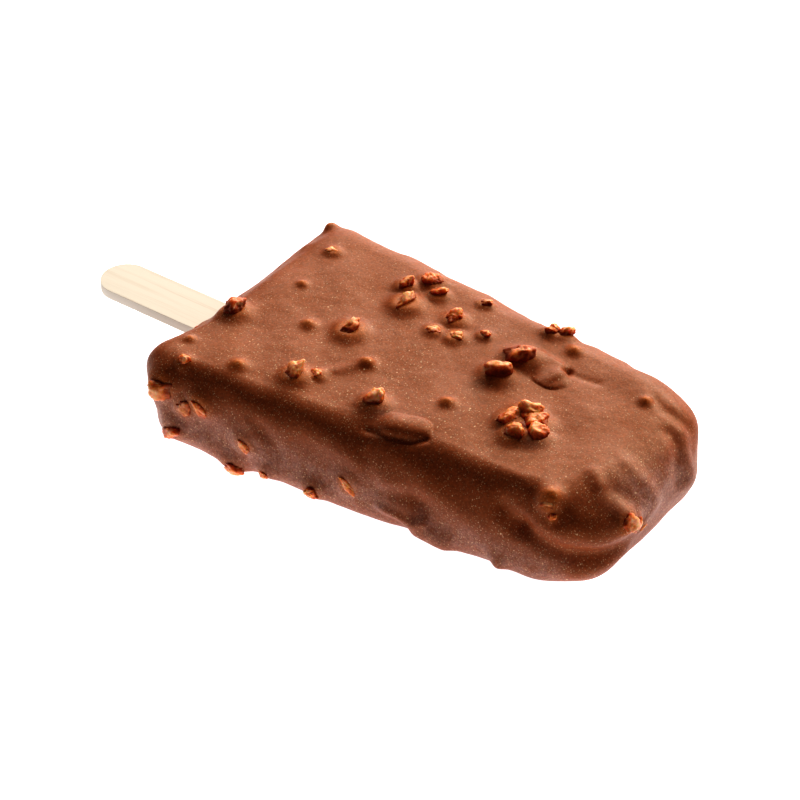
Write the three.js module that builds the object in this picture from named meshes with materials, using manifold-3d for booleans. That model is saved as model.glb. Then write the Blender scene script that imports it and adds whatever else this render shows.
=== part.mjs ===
// A milk chocolate ice cream bar with chopped almonds, lying on its flat underside, and the
// wooden stick that it is frozen onto. Millimetres, +Z up.
// While it is shaped, x runs along the bar from the end that the stick comes out of to the
// rounded tip, y runs across it and z up from the surface that it lies on. At the end the
// whole thing is moved so that the origin is at the bottom centre of its box.

import * as THREE from 'three';
import { mergeVertices } from 'three/addons/utils/BufferGeometryUtils.js';
import Module from 'manifold-3d';

const wasm = await Module();
wasm.setup();

// Driving dimensions of the bar
const barLength = 94.5;
const stickEndWidth = 59.2;
const tipWidth = 42.8;
const barThickness = 19.8;
const stickEndCornerRadius = 6.5;
const tipCornerRadius = 13;
const topEdgeRadius = 6.6;
const bottomEdgeRadius = 6;
// The near side's upper edge has sagged rounder: distance along the bar, radius there, and how
// far down it goes on rounding
const nearTopEdge = [
  [0, 4.2, 5], [18, 4.6, 4.8], [30, 5.4, 5], [44, 6.4, 6], [56, 7, 9], [74, 6.8, 10.5],
  [82, 5.8, 11], [94.5, 5.4, 11],
];
const nearFrom = 0.45; // where the sagged edge starts and is whole, as shares of the half width
const nearWhole = 0.95;
const stickEndRoundness = 0.9; // how far the edge radius is stretched lengthwise at each end
const tipRoundness = 1.5;
const settledDepth = 0.6; // how much of the round underside is pressed flat

// Driving dimensions of the stick
const stickLength = 93;
const stickWidth = 10;
const stickThickness = 2;
const stickShowing = 32.5;
const stickMiddleHeight = 6.7;
const stickEdgeBevel = 0.3;
const fitGap = 0.3; // between the stick and the pocket it is frozen into

// Fineness of the faceted surface
const cellsAlong = 54;
const cellsAcross = 32;
const cellsUp = 8;

// Relief of the coating. Each form follows a short path of points. A swell or hollow fades out
// over its radius, more suddenly with a higher power; a lobe has a sharp foot. Either may fade in
// between two points. A height below zero is a hollow.
const relief = {
  farRim: {
    path: [[71, 18, 19.4], [78, 17.6, 19.4], [84.5, 16.6, 18.8], [88, 15.4, 17.6]],
    radius: 5,
    height: 0.38,
    power: 4,
  },
  rimLump: { path: [[87.6, 15, 18.2]], radius: 2, height: 0.3 },
  tipFarCorner: { path: [[91.6, 15, 13], [93.6, 11, 15]], radius: 4, height: -0.7 },
  tipLowBulge: { path: [[93.8, 9.6, 9]], radius: 3.4, height: 1 },
  nearCorner: { path: [[1.4, -25.4, 16.4], [4, -26.6, 16]], radius: 3.6, height: 1.1 },
  lowCorner: { path: [[2, -27.4, 5.4]], radius: 3.6, height: -0.7 },
  farEdgeOne: { path: [[21.6, 27.5, 17.6], [28, 26.9, 17.6]], radius: 2.2, height: 0.55 },
  farEdgeTwo: { path: [[41, 25.8, 17.8], [48.6, 25.1, 17.8]], radius: 2.3, height: 0.5 },
  farEdgeThree: { path: [[66.4, 23.2, 17.8], [72, 22.6, 17.8]], radius: 2.4, height: 0.75 },
  flake: {
    path: [[60.2, 9.8, 19.8], [63.4, 9.3, 19.8]],
    radius: 3.9,
    height: 0.75,
    power: 9,
    fade: [[60.6, 6.2, 19.8], [61.4, 11, 19.8]],
  },
  flakeLip: {
    path: [[64.6, 8.4, 19.8], [65.9, 8.2, 19.8]],
    radius: 2.9,
    height: 0.65,
    lobe: 2.6,
    fade: [[63, 10.4, 19.8], [66.4, 7.6, 19.8]],
  },
  shoulderLobe: {
    path: [[50.4, -18.6, 19.2], [54.1, -17.7, 19.5]],
    radius: 2.9,
    height: 1.1,
    lobe: 1.8,
    fade: [[45.8, -19.9, 19.8], [50, -19, 19.8]],
  },
  shoulderHollow: { path: [[46.4, -21.2, 18.4]], radius: 2.2, height: -0.5 },
  edgeSag: { path: [[32, -21, 18.2], [46, -19.8, 18.4]], radius: 3.2, height: -0.25 },
  topRidge: { path: [[31, -14.6, 19.8], [36.5, -7.6, 19.8]], radius: 1.4, height: 0.35 },
  nutBall: { path: [[83.6, -18.8, 17.2]], radius: 3.2, height: 0.3 },
  nutHollow: { path: [[85.2, -19, 15.7]], radius: 1.7, height: -0.8 },
  tipRise: { path: [[86, -9.6, 19.5], [87.8, -11.2, 19.1]], radius: 1.5, height: 0.42 },
  swoosh: {
    path: [
      [79.4, -22.4, 12.6], [83.1, -22.2, 11.2], [86.5, -21.1, 9.9], [89.3, -19.2, 8.8],
      [92.3, -15.7, 8], [93.8, -12.6, 8],
    ],
    radius: 2,
    height: -1.35,
  },
  swooshStart: { path: [[75.6, -22, 14.8], [79.4, -22.4, 12.6]], radius: 2.2, height: -1 },
  tipShoulder: {
    path: [[86.8, -18.6, 14.4], [90.4, -15.8, 14], [92.4, -12.6, 13.8]],
    radius: 3.4,
    height: 1.1,
  },
  crater: { path: [[90.8, -9.8, 18.2], [92.6, -9, 16.8]], radius: 2.2, height: -0.65 },
  craterRidge: {
    path: [[89.4, -3.6, 19.3], [92, -3.8, 17.6], [93.9, -3.4, 15.4], [94.5, -2.8, 12]],
    radius: 1.9,
    height: 0.45,
  },
  tipGroove: {
    path: [[90.1, 8.6, 18.6], [92, 8.3, 17.6], [93.3, 6.8, 16.3], [94, 5.2, 15], [94.5, 5.6, 12]],
    radius: 1.5,
    height: -0.5,
  },
  tipRidge: { path: [[91.6, 11, 17.4], [93.6, 9, 15], [94.4, 8.2, 11]], radius: 1.7, height: 0.4 },
  tipUndercut: { path: [[93.4, -8, 3], [93.6, 10, 4]], radius: 5, height: -1.2 },
  sideGroove: {
    path: [[48.6, -24.4, 14.8], [49.8, -25.2, 12.6], [51, -25.3, 9.8]],
    radius: 1.7,
    height: -0.5,
  },
  sideHollow: {
    path: [[54.8, -24.9, 9.4], [57.6, -24.7, 10.2], [60.4, -24.5, 9.6]],
    radius: 1.8,
    height: -0.85,
  },
  bottomLip: { path: [[59.5, -24, 3.8], [64.5, -23.4, 3]], radius: 2.2, height: 1.3 },
  bottomDrip: { path: [[75.6, -22.4, 3.2]], radius: 1.7, height: 1.2 },
  lowSwell: { path: [[18, -28, 3.4], [52, -25, 3.4]], radius: 3.4, height: 0.35 },
  sideRidge: {
    path: [
      [24.4, -27.2, 13.1], [26, -27.3, 11.5], [28.1, -27.2, 10], [28, -27.2, 6.6],
      [29.3, -26.3, 3.3],
    ],
    radius: 1.3,
    height: 0.4,
  },
  sideFold: { path: [[27.6, -27.6, 13.2], [30.4, -27.2, 9.6]], radius: 1.5, height: -0.35 },
  farHorn: { path: [[3, 25.8, 19]], radius: 1.6, height: 0.9 },
  stickEndWave: { path: [[2.6, 17.4, 18.8]], radius: 1.8, height: 0.45 },
  stickEndScoop: { path: [[2, 21, 19], [2.6, -2, 19], [2, -12, 18]], radius: 4.2, height: -1 },
  farSideSwell: { path: [[22, 28.5, 12], [44, 26.5, 7]], radius: 5, height: 0.7 },
  farSideHollow: { path: [[56, 25.6, 9], [66, 24.4, 12]], radius: 3.6, height: -0.8 },
};

// Slow unevenness of the whole coating
const waveHeight = 0.3;
const waveLengths = [31, 23, 17];

// Almond chips that lie bare on the top, as distance along the bar, distance across it,
// longest side, and direction of that side in degrees from the bar's length
const topChips = [
  [28, -1.8, 5.2, 80], [28.1, 15.8, 3.6, 30], [31.3, 11, 5.2, 80], [31, 19.6, 4.2, 10],
  [34.4, 17.1, 3.4, 40], [43.1, 20, 2.8, 0], [41.4, 12.5, 3.9, 60], [48.6, 11.6, 2.3, 0],
  [58, 19.6, 3.2, 0], [60.2, 20.8, 3.4, 20], [57.8, 9.6, 5.6, 50], [57.2, 3.2, 5.4, 20],
  [66.4, -6.6, 4.4, 70], [68, -3.8, 5.2, 30], [70.8, -4.6, 4.8, 80], [69.1, -9.2, 4.4, 0],
  [72.4, -7.4, 4.7, 50], [44.2, -16.2, 4.4, 70], [27.9, -18.2, 4.6, 60], [9.1, -26.2, 2.6, 10],
  [6.9, -8.9, 4.8, 60],
];

// Chips on the top that lie deep in the coating
const sunkChips = [
  [10.2, 16.8, 2.6, 20], [40.2, 7.4, 3, 30], [44.4, 8.2, 3.4, 10], [31, -15.7, 2.6, 0],
  [83.4, -19.4, 3.2, 40], [69.6, -6.6, 6.4, 0],
];

// The same for the near side, with the height in place of the distance across
const nearSideChips = [
  [6.2, 14.9, 5, 80], [10.7, 11.8, 4.2, 80], [14.3, 13.5, 4.8, 131], [8, 5.5, 4.2, 30],
  [23.8, 8.7, 4, 140], [20.4, 1.8, 4.2, 0], [27.6, 3.8, 2.6, 0], [38, 4.2, 3.8, 120],
  [45.3, 8.3, 4.2, 145],
];

// And for the tip, as distance across the bar and height
const tipChips = [
  [-20.2, 16.4, 1.8, 40], [-12, 14.2, 4, 30], [-9.3, 12.9, 2.8, 60], [-5.9, 9.2, 1.9, 90],
];

// Chips that the coating covers: distance along, distance across and size of the lump
const coveredChips = [
  [20.4, -4.2, 2.8], [64.3, 17.4, 2.8], [54.7, -8.8, 2.6], [36.4, -7.8, 2.6], [17.8, -21.7, 3],
  [83.4, -18.6, 3.4], [83, 12.1, 2.2], [12, 5, 2], [3, 25.6, 2.6], [5.6, -20.4, 2.2],
];

// Chips on the far side and on the end round the stick, spread evenly by a rule within a strip
// that starts at from and is reach long. Those on the end keep clear of the stick.
const farSideSpread = { count: 13, alongFrom: 6, alongReach: 80, heightFrom: 3.5, heightReach: 12.5 };
const stickEndSpread = { count: 7, acrossFrom: 9, acrossReach: 15, heightFrom: 4, heightReach: 11 };
const spreadChipSizes = { smallest: 2.2, largest: 4.6 };

// Width and height of a chip, and how far its middle stands above the bare coating, all as
// shares of its longest side
const bareChip = { width: 0.8, height: 0.72, lift: 0.2 };
const sunkChip = { width: 0.85, height: 0.5, lift: 0.1 };
const chipUnevenness = 0.28;

// How high the coating climbs round a chip, from where it falls away and over what distance,
// as shares of the chip's size
const collarShare = 0.2;
const collarFrom = 0.34;
const collarReach = 0.38;
const coveredShare = 0.36; // and the same for one that it covers
const coveredReach = 0.52;

const halfLength = barLength / 2;
const quarterTurn = Math.PI / 2;
const eighthTurn = Math.PI / 4;
const flatShare = 0.82; // the inner part of the top that is flat, before its edge rolls over
const goldenStep = 0.618034;
const plasticStep = 0.754878;

// A repeatable number from 0 to 1 for any whole number
function chance(seed) {
  const spread = Math.sin(seed * 127.1 + 3.7) * 43758.5453;
  return spread - Math.floor(spread);
}

// The bar's outline from above, for a point on the edge of a square from -1 to 1: the distance
// from the bar's middle along it, and the share of the half width across it
function outlinePoint(u, v) {
  const corner = u > 0 ? tipCornerRadius : stickEndCornerRadius;
  const halfWidth = (u > 0 ? tipWidth : stickEndWidth) / 2;
  const along = Math.abs(u);
  const across = Math.abs(v);
  const straightAlong = 1 - corner / halfLength;
  const straightAcross = 1 - corner / halfWidth;
  let x = along * halfLength;
  let y = halfWidth;
  if (across >= along && along > straightAlong) {
    const turn = (eighthTurn * (along - straightAlong)) / (1 - straightAlong);
    x = halfLength - corner * (1 - Math.sin(turn));
    y = halfWidth - corner * (1 - Math.cos(turn));
  } else if (across < along && across > straightAcross) {
    const turn = quarterTurn - (eighthTurn * (across - straightAcross)) / (1 - straightAcross);
    x = halfLength - corner * (1 - Math.sin(turn));
    y = halfWidth - corner * (1 - Math.cos(turn));
  } else if (across < along) {
    x = halfLength;
    y = across * halfWidth;
  }
  return { along: Math.sign(u) * x, across: (Math.sign(v) * y) / halfWidth };
}

function smoothStep(value) {
  const share = Math.min(Math.max(value, 0), 1);
  return share * share * (3 - 2 * share);
}

// The sagged edge's radius and drop at a distance along the bar, between the ones given
function saggedEdge(along) {
  const next = nearTopEdge.findIndex(([place]) => place >= along);
  if (next <= 0) {
    const [, radius, drop] = nearTopEdge.at(next);
    return { radius, drop };
  }
  const [fromPlace, fromRadius, fromDrop] = nearTopEdge[next - 1];
  const [toPlace, toRadius, toDrop] = nearTopEdge[next];
  const share = (along - fromPlace) / (toPlace - fromPlace);
  return {
    radius: fromRadius + (toRadius - fromRadius) * share,
    drop: fromDrop + (toDrop - fromDrop) * share,
  };
}

// The section through an edge of the bar: how far it lies inside the outline, and its height.
// ring is 0 at the middle of the top or underside and 1 at its rim, and w runs up the side
// from -1 to 1.
function edgeSection(ring, w, outline) {
  const floor = -settledDepth;
  const near = smoothStep((-outline.across - nearFrom) / (nearWhole - nearFrom));
  const sagged = saggedEdge(halfLength + outline.along);
  const topRadius = topEdgeRadius + (sagged.radius - topEdgeRadius) * near;
  const topDrop = topEdgeRadius + (sagged.drop - topEdgeRadius) * near;
  const topArc = topDrop * eighthTurn;
  const bottomArc = bottomEdgeRadius * eighthTurn;
  const wall = barThickness - floor - topDrop - bottomEdgeRadius;
  if (Math.abs(w) === 1) {
    const rolled = Math.max(ring - flatShare, 0) / (1 - flatShare);
    const turn = quarterTurn - eighthTurn * rolled;
    const inset = (w > 0 ? topRadius : bottomEdgeRadius) * (1 - Math.cos(turn));
    const drop = (w > 0 ? topDrop : bottomEdgeRadius) * (1 - Math.sin(turn));
    return { inset, height: w > 0 ? barThickness - drop : floor + drop };
  }
  const down = ((1 - w) / 2) * (topArc + wall + bottomArc);
  if (down < topArc) {
    const turn = eighthTurn * (1 - down / topArc);
    return {
      inset: topRadius * (1 - Math.cos(turn)),
      height: barThickness - topDrop * (1 - Math.sin(turn)),
    };
  }
  if (down > topArc + wall) {
    const turn = (eighthTurn * (down - topArc - wall)) / bottomArc;
    return {
      inset: bottomEdgeRadius * (1 - Math.cos(turn)),
      height: floor + bottomEdgeRadius * (1 - Math.sin(turn)),
    };
  }
  return { inset: 0, height: barThickness - topDrop - (down - topArc) };
}

// Bends a point of a cube from -1 to 1 onto the smooth bar
function barPoint(u, v, w) {
  const onSide = Math.abs(w) < 1;
  const ring = Math.max(Math.abs(u), Math.abs(v));
  if (ring === 0) {
    return new THREE.Vector3(halfLength, 0, w > 0 ? barThickness : -settledDepth);
  }
  const outline = outlinePoint(u / ring, v / ring);
  const section = edgeSection(ring, w, outline);
  const share = onSide ? 1 : Math.min(ring / flatShare, 1);
  const roundness = u > 0 ? tipRoundness : stickEndRoundness;
  const x = halfLength + outline.along * share * (1 - (section.inset * roundness) / halfLength);
  const halfWidth = (stickEndWidth + ((tipWidth - stickEndWidth) * x) / barLength) / 2;
  return new THREE.Vector3(x, outline.across * share * (halfWidth - section.inset), section.height);
}

// Distance from a point to a path of straight pieces
function distanceToPath(point, path) {
  const corners = path.map((corner) => new THREE.Vector3(...corner));
  let nearest = point.distanceTo(corners[0]);
  for (let i = 1; i < corners.length; i += 1) {
    const piece = new THREE.Line3(corners[i - 1], corners[i]);
    const foot = piece.closestPointToPoint(point, true, new THREE.Vector3());
    nearest = Math.min(nearest, point.distanceTo(foot));
  }
  return nearest;
}

// How much of a form of the relief there is at a point, from 0 to 1
function formShare(feature, point) {
  const { path, radius, power = 2, lobe, fade } = feature;
  const nearness = distanceToPath(point, path) / radius;
  const share = lobe ? Math.sqrt(1 - Math.min(nearness, 1) ** lobe) : Math.exp(-(nearness ** power));
  if (!fade) {
    return share;
  }
  const [from, to] = fade.map((corner) => new THREE.Vector3(...corner));
  const way = to.sub(from);
  return share * smoothStep(point.clone().sub(from).dot(way) / way.lengthSq());
}

function reliefHeight(point) {
  let height = 0;
  for (const feature of Object.values(relief)) {
    height += feature.height * formShare(feature, point);
  }
  waveLengths.forEach((length, i) => {
    const phase = (2 * Math.PI * (point.x + (i - 1) * point.y + 1.7 * point.z)) / length;
    height += (waveHeight / waveLengths.length) * Math.sin(phase + 2 * i);
  });
  return height;
}

// Moves every vertex along its normal by the height that raise gives for it
function raiseSurface(geometry, raise) {
  geometry.computeVertexNormals();
  const places = geometry.attributes.position;
  const normals = geometry.attributes.normal;
  const point = new THREE.Vector3();
  const normal = new THREE.Vector3();
  for (let i = 0; i < places.count; i += 1) {
    point.fromBufferAttribute(places, i);
    normal.fromBufferAttribute(normals, i);
    point.addScaledVector(normal, raise(point));
    places.setXYZ(i, point.x, point.y, point.z);
  }
}

function bareGeometry(geometry) {
  geometry.deleteAttribute('normal');
  geometry.deleteAttribute('uv');
  return mergeVertices(geometry, 1e-4);
}

function coatingGeometry() {
  const geometry = bareGeometry(new THREE.BoxGeometry(2, 2, 2, cellsAlong, cellsAcross, cellsUp));
  const places = geometry.attributes.position;
  for (let i = 0; i < places.count; i += 1) {
    const point = barPoint(places.getX(i), places.getY(i), places.getZ(i));
    places.setXYZ(i, point.x, point.y, point.z);
  }
  raiseSurface(geometry, reliefHeight);
  return geometry;
}

// Where a straight push from outside meets the coating, and the way the coating faces there
function landing(coating, from, direction) {
  const ray = new THREE.Raycaster(from, direction);
  const hit = ray.intersectObject(coating)[0];
  return { point: hit.point, normal: hit.face.normal.clone() };
}

// All chips, each with where it lands, its size, direction and kind. One that is covered has
// no kind.
function placeChips(coating) {
  const clear = 2 * barLength;
  const down = new THREE.Vector3(0, 0, -1);
  const fromNear = new THREE.Vector3(0, 1, 0);
  const fromFar = new THREE.Vector3(0, -1, 0);
  const fromTip = new THREE.Vector3(-1, 0, 0);
  const fromStickEnd = new THREE.Vector3(1, 0, 0);
  const chips = [];
  const add = (from, direction, size, degrees, kind) => {
    chips.push({ ...landing(coating, from, direction), size, turn: (degrees * Math.PI) / 180, kind });
  };
  const spreadSize = (i) => {
    const { smallest, largest } = spreadChipSizes;
    return smallest + (largest - smallest) * chance(i);
  };
  for (const [x, y, size, degrees] of topChips) {
    add(new THREE.Vector3(x, y, clear), down, size, degrees, bareChip);
  }
  for (const [x, y, size, degrees] of sunkChips) {
    add(new THREE.Vector3(x, y, clear), down, size, degrees, sunkChip);
  }
  for (const [x, z, size, degrees] of nearSideChips) {
    add(new THREE.Vector3(x, -clear, z), fromNear, size, degrees, bareChip);
  }
  for (const [y, z, size, degrees] of tipChips) {
    add(new THREE.Vector3(clear, y, z), fromTip, size, degrees, bareChip);
  }
  for (const [x, y, size] of coveredChips) {
    add(new THREE.Vector3(x, y, clear), down, size, 0, null);
  }
  for (let i = 0; i < farSideSpread.count; i += 1) {
    const x = farSideSpread.alongFrom + farSideSpread.alongReach * ((i * goldenStep) % 1);
    const z = farSideSpread.heightFrom + farSideSpread.heightReach * ((i * plasticStep) % 1);
    add(new THREE.Vector3(x, clear, z), fromFar, spreadSize(i), 180 * chance(i + 40), bareChip);
  }
  for (let i = 0; i < stickEndSpread.count; i += 1) {
    const side = i % 2 === 0 ? 1 : -1;
    const y = side * (stickEndSpread.acrossFrom + stickEndSpread.acrossReach * ((i * goldenStep) % 1));
    const z = stickEndSpread.heightFrom + stickEndSpread.heightReach * ((i * plasticStep) % 1);
    const from = new THREE.Vector3(-clear, y, z);
    add(from, fromStickEnd, spreadSize(i + 20), 180 * chance(i + 60), bareChip);
  }
  return chips;
}

// The coating climbs a little way up each bare chip, and right over a covered one
function mound(chips, point) {
  let collar = 0;
  let covers = 0;
  for (const { point: place, size, kind } of chips) {
    const distance = point.distanceTo(place) / size;
    if (kind) {
      const beyond = Math.max(distance - collarFrom, 0) / collarReach;
      collar = Math.max(collar, collarShare * size * Math.exp(-beyond * beyond));
    } else {
      covers += coveredShare * size * Math.exp(-((distance / coveredReach) ** 2));
    }
  }
  return collar + covers;
}

// An angular almond chip that lies along the surface it has landed on
function chipGeometry(chip, number) {
  const geometry = bareGeometry(new THREE.IcosahedronGeometry(0.5, 0));
  const places = geometry.attributes.position;
  for (let i = 0; i < places.count; i += 1) {
    const stretch = 1 + chipUnevenness * (2 * chance(number * 16 + i) - 1);
    places.setXYZ(i, places.getX(i) * stretch, places.getY(i) * stretch, places.getZ(i) * stretch);
  }
  const up = new THREE.Vector3(0, 0, 1);
  const facing = new THREE.Quaternion().setFromUnitVectors(up, chip.normal);
  const middle = chip.point.clone().addScaledVector(chip.normal, chip.kind.lift * chip.size);
  geometry.scale(chip.size, chip.size * chip.kind.width, chip.size * chip.kind.height);
  geometry.rotateZ(chip.turn);
  geometry.applyQuaternion(facing);
  geometry.translate(middle.x, middle.y, middle.z);
  return geometry;
}

// The stick's outline with round ends, grown all round by a margin, and extruded to its
// thickness
function stickGeometry(margin, bevel) {
  const radius = stickWidth / 2 + margin - bevel;
  const near = -stickShowing + stickWidth / 2;
  const far = stickLength - stickShowing - stickWidth / 2;
  const outline = new THREE.Shape();
  outline.absarc(far, 0, radius, -quarterTurn, quarterTurn, false);
  outline.absarc(near, 0, radius, quarterTurn, 3 * quarterTurn, false);
  const thickness = stickThickness + 2 * margin;
  const geometry = new THREE.ExtrudeGeometry(outline, {
    depth: thickness - 2 * bevel,
    curveSegments: 10,
    bevelEnabled: bevel > 0,
    bevelThickness: bevel,
    bevelSize: bevel,
    bevelSegments: 1,
  });
  geometry.translate(0, 0, stickMiddleHeight - thickness / 2 + bevel);
  return geometry;
}

function toSolid(geometry) {
  return new wasm.Manifold(
    new wasm.Mesh({
      numProp: 3,
      vertProperties: Float32Array.from(geometry.attributes.position.array),
      triVerts: Uint32Array.from(geometry.index.array),
    }),
  );
}

function toGeometry(solid) {
  const mesh = solid.getMesh();
  const geometry = new THREE.BufferGeometry();
  geometry.setAttribute('position', new THREE.BufferAttribute(mesh.vertProperties, mesh.numProp));
  geometry.setIndex(new THREE.BufferAttribute(mesh.triVerts, 1));
  geometry.computeVertexNormals();
  return geometry;
}

// The coated bar: the coating with its chips, pressed flat underneath, less the stick's pocket
function barGeometry() {
  const coating = coatingGeometry();
  const chips = placeChips(new THREE.Mesh(coating));
  raiseSurface(coating, (point) => mound(chips, point));
  let solid = toSolid(coating);
  chips.filter((chip) => chip.kind).forEach((chip, number) => {
    solid = solid.add(toSolid(chipGeometry(chip, number)));
  });
  const underneath = new THREE.BoxGeometry(2 * barLength, 2 * stickEndWidth, barThickness);
  underneath.translate(halfLength, 0, -barThickness / 2);
  solid = solid.subtract(toSolid(bareGeometry(underneath)));
  solid = solid.subtract(toSolid(bareGeometry(stickGeometry(fitGap, 0))));
  return toGeometry(solid);
}

const milkChocolate = new THREE.MeshStandardMaterial({ color: 0xa66440, roughness: 0.45, metalness: 0 });
const paleBirch = new THREE.MeshStandardMaterial({ color: 0xf5e3c8, roughness: 0.7, metalness: 0 });

const bar = new THREE.Mesh(barGeometry(), milkChocolate);
bar.name = 'coated_bar';

const stick = new THREE.Mesh(stickGeometry(0, stickEdgeBevel), paleBirch);
stick.name = 'stick';

const iceCreamBar = new THREE.Group();
iceCreamBar.add(bar, stick);

const box = new THREE.Box3().setFromObject(iceCreamBar);
const middle = box.getCenter(new THREE.Vector3());
iceCreamBar.position.set(-middle.x, -middle.y, -box.min.z);

export default iceCreamBar;
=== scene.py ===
import math

import bmesh
import bpy
import numpy as np
from mathutils import Matrix, Quaternion, Vector, noise
from mathutils.bvhtree import BVHTree


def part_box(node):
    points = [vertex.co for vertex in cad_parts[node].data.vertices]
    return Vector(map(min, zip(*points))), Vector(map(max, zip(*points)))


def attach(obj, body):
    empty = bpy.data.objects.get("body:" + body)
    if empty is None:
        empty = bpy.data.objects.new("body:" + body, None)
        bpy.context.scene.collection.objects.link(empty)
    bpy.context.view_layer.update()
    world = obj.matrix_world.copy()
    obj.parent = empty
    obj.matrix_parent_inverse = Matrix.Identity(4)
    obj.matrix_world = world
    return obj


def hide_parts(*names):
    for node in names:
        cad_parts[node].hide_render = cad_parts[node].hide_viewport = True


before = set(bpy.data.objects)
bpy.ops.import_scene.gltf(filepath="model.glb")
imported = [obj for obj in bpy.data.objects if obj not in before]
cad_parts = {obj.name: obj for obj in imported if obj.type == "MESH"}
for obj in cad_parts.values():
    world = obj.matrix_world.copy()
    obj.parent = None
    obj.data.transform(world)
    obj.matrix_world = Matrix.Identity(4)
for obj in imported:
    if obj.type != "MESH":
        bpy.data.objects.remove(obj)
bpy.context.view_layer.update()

mm = 0.001

# The bar as it is shaped, in mm: x runs from the end the stick comes out of to the tip,
# y across it, z up from the table.
barSize = {
    "length": 94.5,
    "stickEndWidth": 59.2,
    "tipWidth": 42.8,
    "thickness": 19.8,
    "stickEndCorner": 6.5,
    "tipCorner": 13.0,
    "topEdge": 6.6,
    "bottomEdge": 6.0,
    # the near side's upper edge has sagged rounder: distance along, radius, and how far down it
    # goes on rounding
    "nearTopEdge": [
        (0, 4.2, 5), (18, 4.6, 4.8), (30, 5.4, 5), (44, 6.4, 6), (56, 7, 9), (74, 6.8, 10.5),
        (82, 5.8, 11), (94.5, 5.4, 11),
    ],
    "sagFrom": 0.45,      # share of the half width at which that edge starts to differ
    "sagReach": 0.5,
    "stickEndRoundness": 0.9,
    "tipRoundness": 1.5,
    "settled": 0.6,       # how much of the round underside is pressed flat
    "flatShare": 0.82,    # inner part of the top before its edge rolls over
}

stickSize = {
    "length": 93.0,
    "width": 10.0,
    "thickness": 2.0,
    "showing": 32.5,
    "middleHeight": 6.7,
    "edgeRound": 0.06,
    "endSteps": 48,       # straight steps round each end
    "edgeSteps": 5,
}

stickLow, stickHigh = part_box("stick")
shapedOrigin = Vector((
    stickLow.x + stickSize["showing"] * mm,
    (stickLow.y + stickHigh.y) / 2,
    (stickLow.z + stickHigh.z) / 2 - stickSize["middleHeight"] * mm,
))


def toFrame(points):
    return np.asarray(points) * mm + np.array(shapedOrigin)


def toLinear(hexColour):
    parts = [int(hexColour[i:i + 2], 16) / 255 for i in (0, 2, 4)]
    return [c / 12.92 if c <= 0.04045 else ((c + 0.055) / 1.055) ** 2.4 for c in parts] + [1.0]


def chance(seed):
    # a steady draw from 0 to 1
    spread = math.sin(seed * 127.1 + 3.7) * 43758.5453
    return spread - math.floor(spread)


def addNode(tree, kind, settings=None, links=None):
    # a setting is a socket's value where it names or numbers a socket, else the node's own
    node = tree.nodes.new(kind)
    for name, value in (settings or {}).items():
        if isinstance(name, int) or name in node.inputs:
            node.inputs[name].default_value = value
        else:
            setattr(node, name, value)
    for socket, source in (links or {}).items():
        tree.links.new(source, node.inputs[socket])
    return node


def addMath(tree, operation, *values):
    # each value is a number or another node's socket
    node = addNode(tree, "ShaderNodeMath", {"operation": operation})
    for i, value in enumerate(values):
        if isinstance(value, (int, float)):
            node.inputs[i].default_value = value
        else:
            tree.links.new(value, node.inputs[i])
    return node.outputs[0]


def addMix(tree, share, first, second):
    # each colour is a hex value or another node's socket
    node = addNode(tree, "ShaderNodeMix", {"data_type": "RGBA"}, {0: share})
    for socket, colour in ((6, first), (7, second)):
        if isinstance(colour, str):
            node.inputs[socket].default_value = toLinear(colour)
        else:
            tree.links.new(colour, node.inputs[socket])
    return node.outputs[2]


def addRange(tree, value, levels, results, kind="LINEAR"):
    # nothing goes past either end
    return addNode(tree, "ShaderNodeMapRange", {
        "interpolation_type": kind, "From Min": levels[0], "From Max": levels[1],
        "To Min": results[0], "To Max": results[1],
    }, {"Value": value}).outputs[0]


def addNoise(tree, place, size, detail, roughness=0.5):
    # size in mm
    return addNode(tree, "ShaderNodeTexNoise", {
        "Scale": 1 / (size * mm), "Detail": detail, "Roughness": roughness,
    }, {"Vector": place}).outputs["Fac"]


def addAttributes(tree, *names):
    return [addNode(tree, "ShaderNodeAttribute", {"attribute_name": n}).outputs["Fac"] for n in names]


def newMaterial(name):
    material = bpy.data.materials.new(name)
    material.use_nodes = True
    material.node_tree.nodes.clear()
    return material, material.node_tree


def newPiece(name, points, faces, material, smooth=True):
    mesh = bpy.data.meshes.new(name)
    mesh.from_pydata([tuple(p) for p in points], [], [tuple(f) for f in faces])
    mesh.materials.append(material)
    mesh.polygons.foreach_set("use_smooth", [smooth] * len(mesh.polygons))
    mesh.update()
    piece = bpy.data.objects.new(name, mesh)
    bpy.context.scene.collection.objects.link(piece)
    return piece


def addValues(piece, name, values):
    attribute = piece.data.attributes.new(name, "FLOAT", "POINT")
    attribute.data.foreach_set("value", np.asarray(values, np.float32))


# Camera: where it looks from, and how far the bar's middle lies from the middle of the picture
view = {
    "azimuth": 35.9,
    "elevation": 37.65,
    "distance": 550.0,       # mm
    "pictureWidth": 145.45,  # mm across the picture at the bar's middle
    "barRight": 7.51,        # mm
    "barDown": 1.53,         # mm
}


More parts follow.
